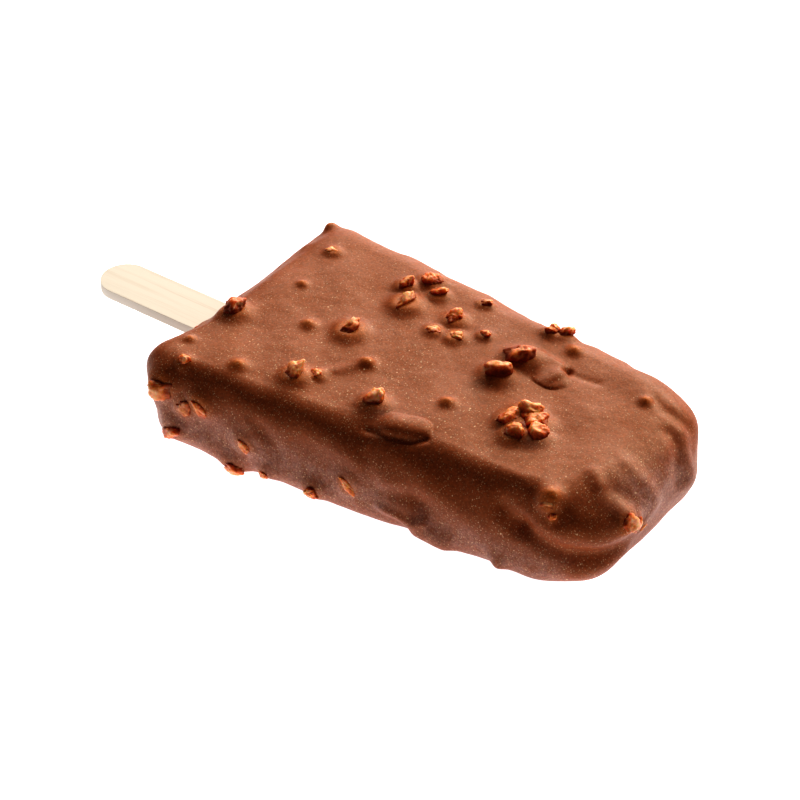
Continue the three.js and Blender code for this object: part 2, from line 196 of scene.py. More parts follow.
def addCamera():
    azimuth = math.radians(view["azimuth"])
    elevation = math.radians(view["elevation"])
    back = Vector((
        math.sin(azimuth) * math.cos(elevation),
        -math.cos(azimuth) * math.cos(elevation),
        math.sin(elevation),
    ))
    right = Vector((0, 0, 1)).cross(back).normalized()
    up = back.cross(right)
    middle = Vector(toFrame((barSize["length"] / 2, 0, barSize["thickness"] / 2)))
    data = bpy.data.cameras.new("studioCamera")
    data.sensor_width = 36
    data.lens = data.sensor_width * view["distance"] / view["pictureWidth"]
    data.clip_start = 0.01
    camera = bpy.data.objects.new("studioCamera", data)
    turn = Matrix((right, up, back)).transposed().to_4x4()
    place = back * view["distance"] - right * view["barRight"] + up * view["barDown"]
    camera.matrix_world = Matrix.Translation(middle + place * mm) @ turn
    bpy.context.scene.collection.objects.link(camera)
    bpy.context.scene.camera = camera


addCamera()
print("camera placed")

# Studio: a glowing white table and soft boxes. Directions are degrees round from +X and up.
studio = {
    "tableSize": 3.0,
    "tableColour": "c8c8c8",
    # brightest round the bar, in a box with its middle and half size in mm
    "tableGlow": {
        "colour": "fbf8ff", "near": 1.4, "far": 0.45, "reach": 30.0,
        "middle": (30, 0), "halfSize": (52, 24),
        "under": 0.55, "underReach": 7.0,   # less glow in the bar's own shade
    },
    "roomColour": "fff0e0",
    "roomLight": 0.06,
    "softBoxes": {
        "backTop": {
            "round": 86, "up": 34, "away": 0.8, "size": (0.7, 0.48), "power": 7.6, "colour": "fffaf2",
        },
        "backLeft": {
            "round": 134, "up": 36, "away": 0.8, "size": (0.4, 0.25), "power": 2.0, "colour": "fffaf2",
        },
        "backLow": {"round": 116, "up": 12, "away": 0.8, "size": (0.5, 0.14), "power": 1.1},
        "leftLow": {"round": 200, "up": 12, "away": 0.7, "size": (0.3, 0.2), "power": 0.3},
        "rightBack": {"round": 28, "up": 22, "away": 0.8, "size": (0.3, 0.3), "power": 0.15},
    },
}


def addTable():
    # White card lit from within: a bright pool round the bar that fades to a plain pale floor.
    size = studio["tableSize"] / 2
    glow = studio["tableGlow"]
    material, tree = newMaterial("litWhiteTable")
    place = addNode(tree, "ShaderNodeTexCoord").outputs["Object"]
    glowMiddle = toFrame((*glow["middle"], 0))
    fromMiddle = addNode(tree, "ShaderNodeVectorMath", {
        "operation": "SUBTRACT", 1: (glowMiddle[0], glowMiddle[1], 0),
    }, {0: place})
    either = addNode(tree, "ShaderNodeVectorMath", {"operation": "ABSOLUTE"}, {0: fromMiddle.outputs[0]})
    beyond = addNode(tree, "ShaderNodeVectorMath", {
        "operation": "SUBTRACT", 1: (glow["halfSize"][0] * mm, glow["halfSize"][1] * mm, 0),
    }, {0: either.outputs[0]})
    outside = addNode(tree, "ShaderNodeVectorMath", {
        "operation": "MAXIMUM", 1: (0, 0, 0),
    }, {0: beyond.outputs[0]})
    distance = addNode(tree, "ShaderNodeVectorMath", {
        "operation": "LENGTH",
    }, {0: outside.outputs[0]}).outputs["Value"]
    falloff = addRange(
        tree, distance, (0, glow["reach"] * mm), (glow["near"], glow["far"]), "SMOOTHSTEP",
    )
    under = addRange(
        tree, distance, (0, glow["underReach"] * mm), (glow["under"], 1), "SMOOTHSTEP",
    )
    shader = addNode(tree, "ShaderNodeBsdfPrincipled", {
        "Base Color": toLinear(studio["tableColour"]),
        "Roughness": 0.8,
        "Emission Color": toLinear(glow["colour"]),
    }, {"Emission Strength": addMath(tree, "MULTIPLY", falloff, under)})
    addNode(tree, "ShaderNodeOutputMaterial", links={"Surface": shader.outputs[0]})
    corners = [(-size, -size, 0), (size, -size, 0), (size, size, 0), (-size, size, 0)]
    table = newPiece("table", corners, [(0, 1, 2, 3)], material, smooth=False)


def addLights():
    world = bpy.data.worlds.new("studioRoom")
    world.use_nodes = True
    world.node_tree.nodes["Background"].inputs["Color"].default_value = toLinear(studio["roomColour"])
    world.node_tree.nodes["Background"].inputs["Strength"].default_value = studio["roomLight"]
    bpy.context.scene.world = world
    middle = Vector(toFrame((barSize["length"] / 2, 0, barSize["thickness"] / 2)))
    for name, box in studio["softBoxes"].items():
        around, up = math.radians(box["round"]), math.radians(box["up"])
        level = math.cos(up)
        direction = Vector((math.cos(around) * level, math.sin(around) * level, math.sin(up)))
        data = bpy.data.lights.new(name, "AREA")
        data.shape = "RECTANGLE"
        data.size, data.size_y = box["size"]
        data.energy = box["power"]
        data.color = toLinear(box.get("colour", "ffffff"))[:3]
        light = bpy.data.objects.new(name, data)
        light.location = middle + direction * box["away"]
        light.rotation_euler = direction.to_track_quat("Z", "Y").to_euler()
        bpy.context.scene.collection.objects.link(light)
    bpy.context.scene.view_settings.view_transform = "Standard"
    bpy.context.scene.view_settings.look = "High Contrast"


addTable()
addLights()
print("studio lit")

# The coating's relief, in mm. Each form follows a short path. A swell or hollow fades out over
# its radius, more suddenly with a higher power; a lobe is a thick run of chocolate with a sharp
# foot, and may fade in between two points. A height below zero is a hollow.
relief = {
    "farRim": {
        "path": [(71, 18, 19.4), (78, 17.6, 19.4), (84.5, 16.6, 18.8), (88, 15.4, 17.6)],
        "radius": 5.0, "height": 0.38, "power": 4,
    },
    "farCrease": {
        "path": [(66.8, 11.5, 19.8), (70.5, 11.4, 19.8), (73, 11.9, 19.8)],
        "radius": 0.9, "height": -0.25,
    },
    "rimCrease": {
        "path": [(84.2, 13.3, 19.7), (86.8, 12.5, 19.3), (89.3, 12.7, 18.4), (91.4, 13.6, 16.9)],
        "radius": 1.4, "height": -0.35,
    },
    "rimLump": {"path": [(87.6, 15, 18.2)], "radius": 2.0, "height": 0.3},
    "notch": {"path": [(66.6, 11.7, 19.8)], "radius": 0.8, "height": -0.8},
    "tipFarCorner": {"path": [(91.6, 15, 13), (93.6, 11, 15)], "radius": 4.0, "height": -0.7},
    "tipLowBulge": {"path": [(93.8, 9.6, 9)], "radius": 3.4, "height": 1.0},
    "nearCorner": {"path": [(1.4, -25.4, 16.4), (4, -26.6, 16)], "radius": 3.6, "height": 1.1},
    "lowCorner": {"path": [(2, -27.4, 5.4)], "radius": 3.6, "height": -0.7},
    "farEdgeOne": {"path": [(21.6, 27.5, 17.6), (28, 26.9, 17.6)], "radius": 2.2, "height": 0.55},
    "farEdgeTwo": {"path": [(41, 25.8, 17.8), (48.6, 25.1, 17.8)], "radius": 2.3, "height": 0.5},
    "farEdgeThree": {"path": [(66.4, 23.2, 17.8), (72, 22.6, 17.8)], "radius": 2.4, "height": 0.75},
    "flake": {
        "path": [(60.2, 9.8, 19.8), (63.4, 9.3, 19.8)],
        "radius": 3.9, "height": 0.75, "power": 9, "fade": [(60.6, 6.2, 19.8), (61.4, 11, 19.8)],
    },
    "flakeLip": {
        "path": [(64.6, 8.4, 19.8), (65.9, 8.2, 19.8)],
        "radius": 2.9, "height": 0.65, "lobe": 2.6, "fade": [(63, 10.4, 19.8), (66.4, 7.6, 19.8)],
    },
    "shoulderLobe": {
        "path": [(50.4, -18.6, 19.2), (54.1, -17.7, 19.5)],
        "radius": 2.9, "height": 1.1, "lobe": 1.8, "fade": [(45.8, -19.9, 19.8), (50, -19, 19.8)],
    },
    "shoulderCrease": {
        "path": [(46.8, -21.9, 18.5), (51.2, -21.3, 18.5), (55.4, -20.4, 18.9), (57.1, -19, 19.6)],
        "radius": 0.7, "height": -0.6,
    },
    "shoulderRidge": {"path": [(40.6, -23.4, 16.8), (45.2, -22.8, 17.2)], "radius": 0.8, "height": 0.35},
    "shoulderHollow": {"path": [(46.4, -21.2, 18.4)], "radius": 2.2, "height": -0.5},
    "edgeSag": {"path": [(32, -21, 18.2), (46, -19.8, 18.4)], "radius": 3.2, "height": -0.25},
    "topRidge": {"path": [(31, -14.6, 19.8), (36.5, -7.6, 19.8)], "radius": 1.4, "height": 0.35},
    "nutBall": {"path": [(83.6, -18.8, 17.2)], "radius": 3.2, "height": 0.3},
    "nutHollow": {"path": [(85.2, -19, 15.7)], "radius": 1.7, "height": -0.8},
    "tipRise": {"path": [(86, -9.6, 19.5), (87.8, -11.2, 19.1)], "radius": 1.5, "height": 0.42},
    "swoosh": {
        "path": [
            (79.4, -22.4, 12.6), (83.1, -22.2, 11.2), (86.5, -21.1, 9.9),
            (89.3, -19.2, 8.8), (92.3, -15.7, 8), (93.8, -12.6, 8),
        ],
        "radius": 2.0, "height": -1.35,
    },
    "swooshStart": {"path": [(75.6, -22, 14.8), (79.4, -22.4, 12.6)], "radius": 2.2, "height": -1.0},
    "tipShoulder": {
        "path": [(86.8, -18.6, 14.4), (90.4, -15.8, 14), (92.4, -12.6, 13.8)],
        "radius": 3.4, "height": 1.1,
    },
    "crater": {"path": [(90.8, -9.8, 18.2), (92.6, -9, 16.8)], "radius": 2.2, "height": -0.65},
    "craterRidge": {
        "path": [(89.4, -3.6, 19.3), (92, -3.8, 17.6), (93.9, -3.4, 15.4), (94.5, -2.8, 12)],
        "radius": 1.9, "height": 0.45,
    },
    "tipGroove": {
        "path": [(90.1, 8.6, 18.6), (92, 8.3, 17.6), (93.3, 6.8, 16.3), (94, 5.2, 15), (94.5, 5.6, 12)],
        "radius": 1.5, "height": -0.5,
    },
    "tipRidge": {
        "path": [(91.6, 11, 17.4), (93.6, 9, 15), (94.4, 8.2, 11)],
        "radius": 1.7, "height": 0.4,
    },
    "tipUndercut": {"path": [(93.4, -8, 3), (93.6, 10, 4)], "radius": 5.0, "height": -1.2},
    "sideGroove": {
        "path": [(48.6, -24.4, 14.8), (49.8, -25.2, 12.6), (51, -25.3, 9.8)],
        "radius": 1.7, "height": -0.5,
    },
    "sideHollow": {
        "path": [(54.8, -24.9, 9.4), (57.6, -24.7, 10.2), (60.4, -24.5, 9.6)],
        "radius": 1.8, "height": -0.85,
    },
    "sideLip": {
        "path": [(51.8, -25.1, 5.7), (56.9, -24.6, 4.9), (60.8, -24.3, 6.2)],
        "radius": 0.9, "height": 0.55,
    },
    "bottomLip": {"path": [(59.5, -24, 3.8), (64.5, -23.4, 3)], "radius": 2.2, "height": 1.3},
    "bottomDrip": {"path": [(75.6, -22.4, 3.2)], "radius": 1.7, "height": 1.2},
    "lowSwell": {"path": [(18, -28, 3.4), (52, -25, 3.4)], "radius": 3.4, "height": 0.35},
    "sideRidge": {
        "path": [
            (24.4, -27.2, 13.1), (26, -27.3, 11.5), (28.1, -27.2, 10),
            (28, -27.2, 6.6), (29.3, -26.3, 3.3),
        ],
        "radius": 1.3, "height": 0.4,
    },
    "sideFold": {"path": [(27.6, -27.6, 13.2), (30.4, -27.2, 9.6)], "radius": 1.5, "height": -0.35},
    "farHorn": {"path": [(3, 25.8, 19)], "radius": 1.6, "height": 0.9},
    "stickEndWave": {"path": [(2.6, 17.4, 18.8)], "radius": 1.8, "height": 0.45},
    "stickEndScoop": {"path": [(2, 21, 19), (2.6, -2, 19), (2, -12, 18)], "radius": 4.2, "height": -1.0},
    "farSideSwell": {"path": [(22, 28.5, 12), (44, 26.5, 7)], "radius": 5.0, "height": 0.7},
    "farSideHollow": {"path": [(56, 25.6, 9), (66, 24.4, 12)], "radius": 3.6, "height": -0.8},
}

# Whitened patches, in mm: a path, a radius and how white it gets. They are frost where ice crystals
# have settled thickly, and also painted sheen, the lit table's reflection on the lower walls and tip,
# and painted highlights along lit ridges and lips.
frostAndSheen = [
    # painted highlight along the lit side ridge
    {"path": [(24.4, -27.2, 13.1), (26, -27.3, 11.5), (28.1, -27.2, 10)], "radius": 1.0, "amount": 0.5},
    {"path": [(28, -27.2, 6.6), (29.3, -26.6, 4)], "radius": 1.1, "amount": 0.55},
    # painted sheen of the lit table along the foot of the near side and round the tip
    {"path": [(20, -27, 4), (31, -26.2, 3.2)], "radius": 2.8, "amount": 0.45},
    {
        "path": [(8, -28.4, 3.4), (60, -24, 2.8), (86, -20.4, 2.6), (93, -13, 2.8)],
        "radius": 2.4, "amount": 0.3,
    },
    # painted highlight along the lip lit from below
    {"path": [(51.8, -25.1, 5.7), (56.9, -24.6, 4.9), (60.8, -24.3, 6.2)], "radius": 0.9, "amount": 0.55},
    # painted sheen of the lit table on the lower near side
    {"path": [(5, -28.6, 7), (50, -24.9, 6.6)], "radius": 5.4, "amount": 0.8},
    {"path": [(62, -23.9, 5.4), (84, -21, 4.4)], "radius": 4.0, "amount": 0.8},
    # painted sheen of the lit table on the tip
    {"path": [(94, -6, 15), (94.4, 4, 12), (93, 11, 9)], "radius": 5.5, "amount": 0.85},
    {"path": [(94.2, -8, 6), (94.4, 6, 5)], "radius": 4.0, "amount": 0.35},
    # painted highlight along the lit crater ridge
    {"path": [(92, -3.8, 17.6), (93.9, -3.4, 15.4), (94.5, -2.8, 12)], "radius": 1.3, "amount": 0.6},
    {"path": [(46, -18, 19.4), (52, -15.4, 19.8)], "radius": 1.6, "amount": 0.3},
    {"path": [(73.6, -9.6, 19.8), (73.6, -4.6, 19.8)], "radius": 1.8, "amount": 0.3},
]

coating = {
    "cells": (320, 190, 56),          # along, across and up
    "waveHeight": 0.3,
    "waveLengths": (31.0, 23.0, 17.0),
    "waveLean": 1.7,                  # how much the waves lean on the sides
    "ripples": [(7.0, 0.16), (2.6, 0.05)],   # length and height of the fine unevenness
    "crystals": 0.34,                 # how densely ice crystals lie at the middle
    "crystalFall": 0.016,             # and how much less for each mm towards the far side
    "driftLength": 8.0,
    "driftShare": 0.3,
    "collarHeight": 0.55,             # where the coating climbs onto the stick
    "collarReach": 1.6,
    "collarUntil": 6.0,               # no further along the bar than this, fading before it
    "collarFade": 4.0,
}

# Almond chips: distance along, distance across, longest side, direction in degrees, kind
topChips = [
    (10.2, 16.8, 2.6, 20, "sunk"), (28, -1.8, 5.2, 80, "log"), (28.1, 15.8, 3.6, 30, "nub"),
    (31.3, 11, 5.2, 80, "log"), (31, 19.6, 4.2, 10, "amber"), (34.4, 17.1, 3.4, 40, "crumb"),
    (43.1, 20, 2.8, 0, "coated"), (41.4, 12.5, 3.9, 60, "crumb"), (40.2, 7.4, 3, 30, "sunk"),
    (44.4, 8.2, 3.4, 10, "sunk"), (48.6, 11.6, 2.3, 0, "crumb"), (58, 19.6, 3.2, 0, "amber"),
    (60.2, 20.8, 3.4, 20, "nub"), (57.8, 9.6, 5.6, 50, "dark"), (57.2, 3.2, 5.4, 20, "dark"),
    # the cluster of crumbs, over a flat dark chip as painted shade between them
    (66.4, -6.6, 4.4, 70, "crumb"), (68, -3.8, 5.2, 30, "crumb"), (70.8, -4.6, 4.8, 80, "crumb"),
    (69.1, -9.2, 4.4, 0, "crumb"), (72.4, -7.4, 4.7, 50, "crumb"), (69.6, -6.6, 6.4, 0, "shadeBed"),
    (44.2, -16.2, 4.4, 70, "nub"), (27.9, -18.2, 4.6, 60, "nub"), (31, -15.7, 2.6, 0, "sunk"),
    (9.1, -26.2, 2.6, 10, "crumb"), (6.9, -8.9, 4.8, 60, "roasted"), (83.4, -19.4, 3.2, 40, "coated"),
]
# On the near side, with the height in place of the distance across
nearSideChips = [
    (6.2, 14.9, 5, 80, "amber"), (10.7, 11.8, 4.2, 80, "coated"), (14.3, 13.5, 4.8, 131, "shard"),
    (8, 5.5, 4.2, 30, "crumb"), (23.8, 8.7, 4.0, 140, "shard"), (20.4, 1.8, 4.2, 0, "smooth"),
    (27.6, 3.8, 2.6, 0, "smooth"), (38, 4.2, 3.8, 120, "nub"), (45.3, 8.3, 4.2, 145, "shard"),
]
# On the tip: distance across and height
tipChips = [
    (-20.2, 16.4, 1.8, 40, "crumb"), (-12, 14.2, 4, 30, "smooth"), (-9.3, 12.9, 2.8, 60, "smooth"),
    (-5.9, 9.2, 1.9, 90, "shard"),
]
# Under the coating: distance along, distance across and size of the lump
coveredChips = [
    (20.4, -4.2, 2.8), (64.3, 17.4, 2.8), (54.7, -8.8, 2.6), (36.4, -7.8, 2.6), (17.8, -21.7, 3),
    (83.4, -18.6, 3.4), (83, 12.1, 2.2), (12, 5, 2), (3, 25.6, 2.6), (5.6, -20.4, 2.2),
]
# Each kind of chip: width and height beside its longest side, how far it leans up from the
# coating in degrees, its middle above the bare coating, how far the coating's film climbs it
# (both as shares of its size), how dark it is roasted, and its taper
chipKinds = {
    "nub": {"sides": (0.85, 0.75), "lean": 50, "lift": 0.2, "film": 0.12, "roast": 0.04, "taper": 0.25},
    "log": {"sides": (0.5, 0.48), "lean": 8, "lift": 0.18, "film": 0.1, "roast": 0.06, "taper": 0.1},
    "crumb": {"sides": (0.8, 0.7), "lean": 15, "lift": 0.2, "film": 0.06, "roast": 0.12, "taper": 0.15},
    "amber": {"sides": (0.9, 0.8), "lean": 0, "lift": 0.16, "film": 0.08, "roast": 0.14, "taper": 0.05},
    "dark": {"sides": (0.85, 0.75), "lean": 20, "lift": 0.2, "film": 0.26, "roast": 0.3, "taper": 0.1},
    "roasted": {"sides": (0.9, 0.75), "lean": 10, "lift": 0.2, "film": 0.2, "roast": 0.62, "taper": 0.1},
    "smooth": {"sides": (0.85, 0.62), "lean": 0, "lift": 0.16, "film": 0.0, "roast": 0.06, "taper": 0.05},
    "coated": {"sides": (0.85, 0.6), "lean": 8, "lift": 0.12, "film": 0.16, "roast": 0.1, "taper": 0.1},
    "sunk": {"sides": (0.85, 0.5), "lean": 0, "lift": 0.09, "film": -0.05, "roast": 0.0, "taper": 0.1},
    # a flat chip roasted darkest, laid under the middle of the cluster: painted shade between its lumps
    "shadeBed": {"sides": (0.9, 0.4), "lean": 0, "lift": 0.02, "film": 0.0, "roast": 1.0, "taper": 0.0},
    "shard": {"sides": (0.62, 0.42), "lean": 8, "lift": 0.18, "film": -0.1, "roast": 0.02, "taper": 0.6},
}
spreadKinds = ["crumb", "coated", "dark", "nub", "smooth"]
chips = {
    # spread over the sides behind, with the first seeds for their sizes, directions and kinds
    "farSide": {
        "count": 13, "alongFrom": 6, "alongReach": 80, "heightFrom": 3.5, "heightReach": 12.5,
        "seeds": (0, 40, 70),
    },
    "stickEnd": {
        "count": 7, "acrossFrom": 9, "acrossReach": 15, "heightFrom": 4, "heightReach": 11,
        "seeds": (20, 60, 90),
    },
    "smallest": 2.2,
    "largest": 4.6,
    # all shares of the chip's size
    "collarShare": 0.2,      # how high the coating climbs round a chip
    "collarFrom": 0.34,      # where it starts to fall away
    "collarReach": 0.38,     # over what distance
    "collarThin": (0.6, 0.6),   # how thin the coating is there, and over what share of that distance
    "coveredShare": 0.36,
    "coveredReach": 0.52,
    "coveredThin": 0.4,
    # the chip's own form
    "fineness": 4,
    "cuts": 10,              # flat broken faces of a chip
    "cutDepth": (0.62, 0.38),   # nearest face, and how much further out others may be
    "farthest": 1.1,
    "roundness": 8.0,        # higher is sharper
    "lumps": 0.24,
    "lumpScale": 1.6,
    "lumpOctaves": [(1, 1), (2.2, 0.6), (4.4, 0.35)],
    "roastSpread": 0.2,
    "filmFade": 0.35,
    "firstSeed": 1000,
    "seedsEach": 40,         # 12 each for the way round, height and depth of the cuts, then the roast
}
goldenStep = 0.618034
plasticStep = 0.754878


def smoothStep(value):
    value = np.clip(value, 0, 1)
    return value * value * (3 - 2 * value)


def outlinePoints(u, v):
    # the outline from above for points on the edge of a square from -1 to 1
    half = barSize["length"] / 2
    corner = np.where(u > 0, barSize["tipCorner"], barSize["stickEndCorner"])
    halfWidth = np.where(u > 0, barSize["tipWidth"], barSize["stickEndWidth"]) / 2
    along, across = np.abs(u), np.abs(v)
    straightAlong, straightAcross = 1 - corner / half, 1 - corner / halfWidth
    onLongSide = across >= along - 1e-12
    turnA = math.pi / 4 * np.clip((along - straightAlong) / (1 - straightAlong), 0, 1)
    turnB = math.pi / 2 - math.pi / 4 * np.clip((across - straightAcross) / (1 - straightAcross), 0, 1)
    turn = np.where(onLongSide, turnA, turnB)
    x = half - corner * (1 - np.sin(turn))
    y = halfWidth - corner * (1 - np.cos(turn))
    x = np.where(onLongSide & (along <= straightAlong), along * half, x)
    y = np.where(onLongSide & (along <= straightAlong), halfWidth, y)
    x = np.where(~onLongSide & (across <= straightAcross), half, x)
    y = np.where(~onLongSide & (across <= straightAcross), across * halfWidth, y)
    return np.sign(u) * x, np.sign(v) * y / halfWidth


def edgeSections(ring, w, outX, outY):
    # how far inside the outline, and how high
    near = smoothStep((-outY - barSize["sagFrom"]) / barSize["sagReach"])
    along = barSize["length"] / 2 + outX
    places, radii, drops = zip(*barSize["nearTopEdge"])
    top = barSize["topEdge"] + (np.interp(along, places, radii) - barSize["topEdge"]) * near
    drop = barSize["topEdge"] + (np.interp(along, places, drops) - barSize["topEdge"]) * near
    bottom = np.full_like(top, barSize["bottomEdge"])
    floor, height, flat = -barSize["settled"], barSize["thickness"], barSize["flatShare"]
    topArc, bottomArc = drop * math.pi / 4, bottom * math.pi / 4
    wall = height - floor - drop - bottom
    rolled = math.pi / 2 - math.pi / 4 * np.maximum(ring - flat, 0) / (1 - flat)
    capRadius = np.where(w > 0, top, bottom)
    capInset = capRadius * (1 - np.cos(rolled))
    capDrop = 1 - np.sin(rolled)
    capHeight = np.where(w > 0, height - drop * capDrop, floor + bottom * capDrop)
    down = (1 - w) / 2 * (topArc + wall + bottomArc)
    upper = math.pi / 4 * (1 - down / topArc)
    lower = math.pi / 4 * (down - topArc - wall) / bottomArc
    inTop, inBottom = down < topArc, down > topArc + wall
    sideInset = np.where(
        inTop, top * (1 - np.cos(upper)), np.where(inBottom, bottom * (1 - np.cos(lower)), 0),
    )
    sideHeight = np.where(
        inTop, height - drop * (1 - np.sin(upper)),
        np.where(inBottom, floor + bottom * (1 - np.sin(lower)), height - drop - (down - topArc)),
    )
    onCap = np.abs(w) > 1 - 1e-9
    return np.where(onCap, capInset, sideInset), np.where(onCap, capHeight, sideHeight)


def barPoints(u, v, w):
    half = barSize["length"] / 2
    ring = np.maximum(np.maximum(np.abs(u), np.abs(v)), 1e-9)
    outX, outY = outlinePoints(u / ring, v / ring)
    inset, z = edgeSections(ring, w, outX, outY)
    share = np.where(np.abs(w) > 1 - 1e-9, np.minimum(ring / barSize["flatShare"], 1), 1)
    roundness = np.where(u > 0, barSize["tipRoundness"], barSize["stickEndRoundness"])
    x = half + outX * share * (1 - inset * roundness / half)
    taper = (barSize["tipWidth"] - barSize["stickEndWidth"]) / barSize["length"]
    halfWidth = (barSize["stickEndWidth"] + taper * x) / 2
    return np.stack([x, outY * share * (halfWidth - inset), z], -1)


def boxGrid(cells):
    # a closed box of square cells from -1 to 1, with shared corners and faces turned out
    nx, ny, nz = cells
    quads = []

    def face(first, second, rest, flip):
        i, j = np.meshgrid(np.arange(cells[first]), np.arange(cells[second]), indexing="ij")
        corners = []
        for di, dj in ((0, 0), (1, 0), (1, 1), (0, 1)):
            index = [None, None, None]
            index[first], index[second] = i + di, j + dj
            index[3 - first - second] = np.full_like(i, rest)
            corners.append((index[0] * (ny + 1) + index[1]) * (nz + 1) + index[2])
        ordered = corners[::-1] if flip else corners
        quads.append(np.stack(ordered, -1).reshape(-1, 4))

    face(0, 1, nz, False)
    face(0, 1, 0, True)
    face(1, 2, nx, False)
    face(1, 2, 0, True)
    face(2, 0, ny, False)
    face(2, 0, 0, True)
    quads = np.concatenate(quads)
    used, compact = np.unique(quads, return_inverse=True)
    compact = compact.reshape(quads.shape)
    k = used % (nz + 1)
    j = used // (nz + 1) % (ny + 1)
    i = used // ((nz + 1) * (ny + 1))
    return 2 * i / nx - 1, 2 * j / ny - 1, 2 * k / nz - 1, compact


def vertexNormals(points, quads):
    a, b, c, d = (points[quads[:, i]] for i in range(4))
    across = np.cross(c - a, d - b)
    total = np.zeros_like(points)
    for i in range(4):
        for axis in range(3):
            total[:, axis] += np.bincount(quads[:, i], across[:, axis], len(points))
    return total / np.maximum(np.linalg.norm(total, axis=1, keepdims=True), 1e-12)


def pathDistance(points, path):
    corners = [np.array(corner, float) for corner in path]
    nearest = np.linalg.norm(points - corners[0], axis=1)
    for start, end in zip(corners, corners[1:]):
        span = end - start
        share = np.clip((points - start) @ span / (span @ span), 0, 1)
        foot = start + share[:, None] * span
        nearest = np.minimum(nearest, np.linalg.norm(points - foot, axis=1))
    return nearest


def reliefHeights(points):
    height = np.zeros(len(points))
    for feature in relief.values():
        share = pathDistance(points, feature["path"]) / feature["radius"]
        if "lobe" in feature:
            shape = np.sqrt(1 - np.minimum(share, 1) ** feature["lobe"])
        else:
            shape = np.exp(-share ** feature.get("power", 2))
        if "fade" in feature:
            start, end = (np.array(p, float) for p in feature["fade"])
            span = end - start
            shape = shape * smoothStep((points - start) @ span / (span @ span))
        height += feature["height"] * shape
    x, y, z = points.T
    for i, length in enumerate(coating["waveLengths"]):
        phase = 2 * math.pi * (x + (i - 1) * y + coating["waveLean"] * z) / length
        height += coating["waveHeight"] / len(coating["waveLengths"]) * np.sin(phase + 2 * i)
    return height


def rippleHeights(points):
    height = np.zeros(len(points))
    for length, rise in coating["ripples"]:
        for i, p in enumerate(points / length):
            height[i] += rise * noise.noise(p)
    return height


def placeChips(points, quads):
    # the listed ones, and those spread over the two sides behind
    tree = BVHTree.FromPolygons([Vector(p) for p in points], [tuple(q) for q in quads.tolist()])
    clear = 2 * barSize["length"]
    placed = []

    def add(start, direction, size, degrees=0, kind=None):
        place, normal, _, _ = tree.ray_cast(Vector(start), Vector(direction))
        placed.append({"place": place, "normal": normal, "size": size, "turn": degrees, "kind": kind})

    def drawn(strip, i):
        sizeSeed, turnSeed, kindSeed = (i + first for first in strip["seeds"])
        size = chips["smallest"] + (chips["largest"] - chips["smallest"]) * chance(sizeSeed)
        return size, 180 * chance(turnSeed), spreadKinds[int(chance(kindSeed) * len(spreadKinds))]

    for x, y, size, degrees, kind in topChips:
        add((x, y, clear), (0, 0, -1), size, degrees, kind)
    for x, z, size, degrees, kind in nearSideChips:
        add((x, -clear, z), (0, 1, 0), size, degrees, kind)
    for y, z, size, degrees, kind in tipChips:
        add((clear, y, z), (-1, 0, 0), size, degrees, kind)
    for x, y, size in coveredChips:
        add((x, y, clear), (0, 0, -1), size)
    strip = chips["farSide"]
    for i in range(strip["count"]):
        x = strip["alongFrom"] + strip["alongReach"] * (i * goldenStep % 1)
        z = strip["heightFrom"] + strip["heightReach"] * (i * plasticStep % 1)
        add((x, clear, z), (0, -1, 0), *drawn(strip, i))
    strip = chips["stickEnd"]
    for i in range(strip["count"]):
        side = 1 if i % 2 == 0 else -1
        y = side * (strip["acrossFrom"] + strip["acrossReach"] * (i * goldenStep % 1))
        z = strip["heightFrom"] + strip["heightReach"] * (i * plasticStep % 1)
        add((-clear, y, z), (1, 0, 0), *drawn(strip, i))
    return placed


def chipCollars(points, placed):
    # the coating climbs a little way up each bare chip, and right over a covered one
    height = np.zeros(len(points))
    thin = np.zeros(len(points))
    thinness, thinReach = chips["collarThin"]
    for chip in placed:
        size = chip["size"]
        distance = np.linalg.norm(points - np.array(chip["place"]), axis=1) / size
        if chip["kind"] is None:
            height += chips["coveredShare"] * size * np.exp(-(distance / chips["coveredReach"]) ** 2)
            thin = np.maximum(thin, np.exp(-(distance / chips["coveredThin"]) ** 2))
        else:
            beyond = np.maximum(distance - chips["collarFrom"], 0) / chips["collarReach"]
            height = np.maximum(height, chips["collarShare"] * size * np.exp(-beyond ** 2))
            thin = np.maximum(thin, thinness * np.exp(-(beyond / thinReach) ** 2))
    return height, thin


def crystalAmounts(points):
    # more ice crystals towards the near side, in drifts
    drift = np.array([noise.noise(p) for p in points / coating["driftLength"]])
    level = coating["crystals"] - coating["crystalFall"] * points[:, 1]
    return np.clip(level + coating["driftShare"] * drift, 0, 1)


def frostAndSheenAmounts(points):
    # how white each point is drawn: frost, and painted sheen and highlights
    amount = np.zeros(len(points))
    for patch in frostAndSheen:
        share = pathDistance(points, patch["path"]) / patch["radius"]
        amount = np.maximum(amount, patch["amount"] * np.exp(-share ** 2))
    return amount


def stickCollar(points):
    across = np.maximum(np.abs(points[:, 1]) - stickSize["width"] / 2, 0)
    up = np.maximum(np.abs(points[:, 2] - stickSize["middleHeight"]) - stickSize["thickness"] / 2, 0)
    distance = np.hypot(across, up) / coating["collarReach"]
    onEnd = smoothStep((coating["collarUntil"] - points[:, 0]) / coating["collarFade"])
    return coating["collarHeight"] * np.exp(-distance ** 2) * onEnd


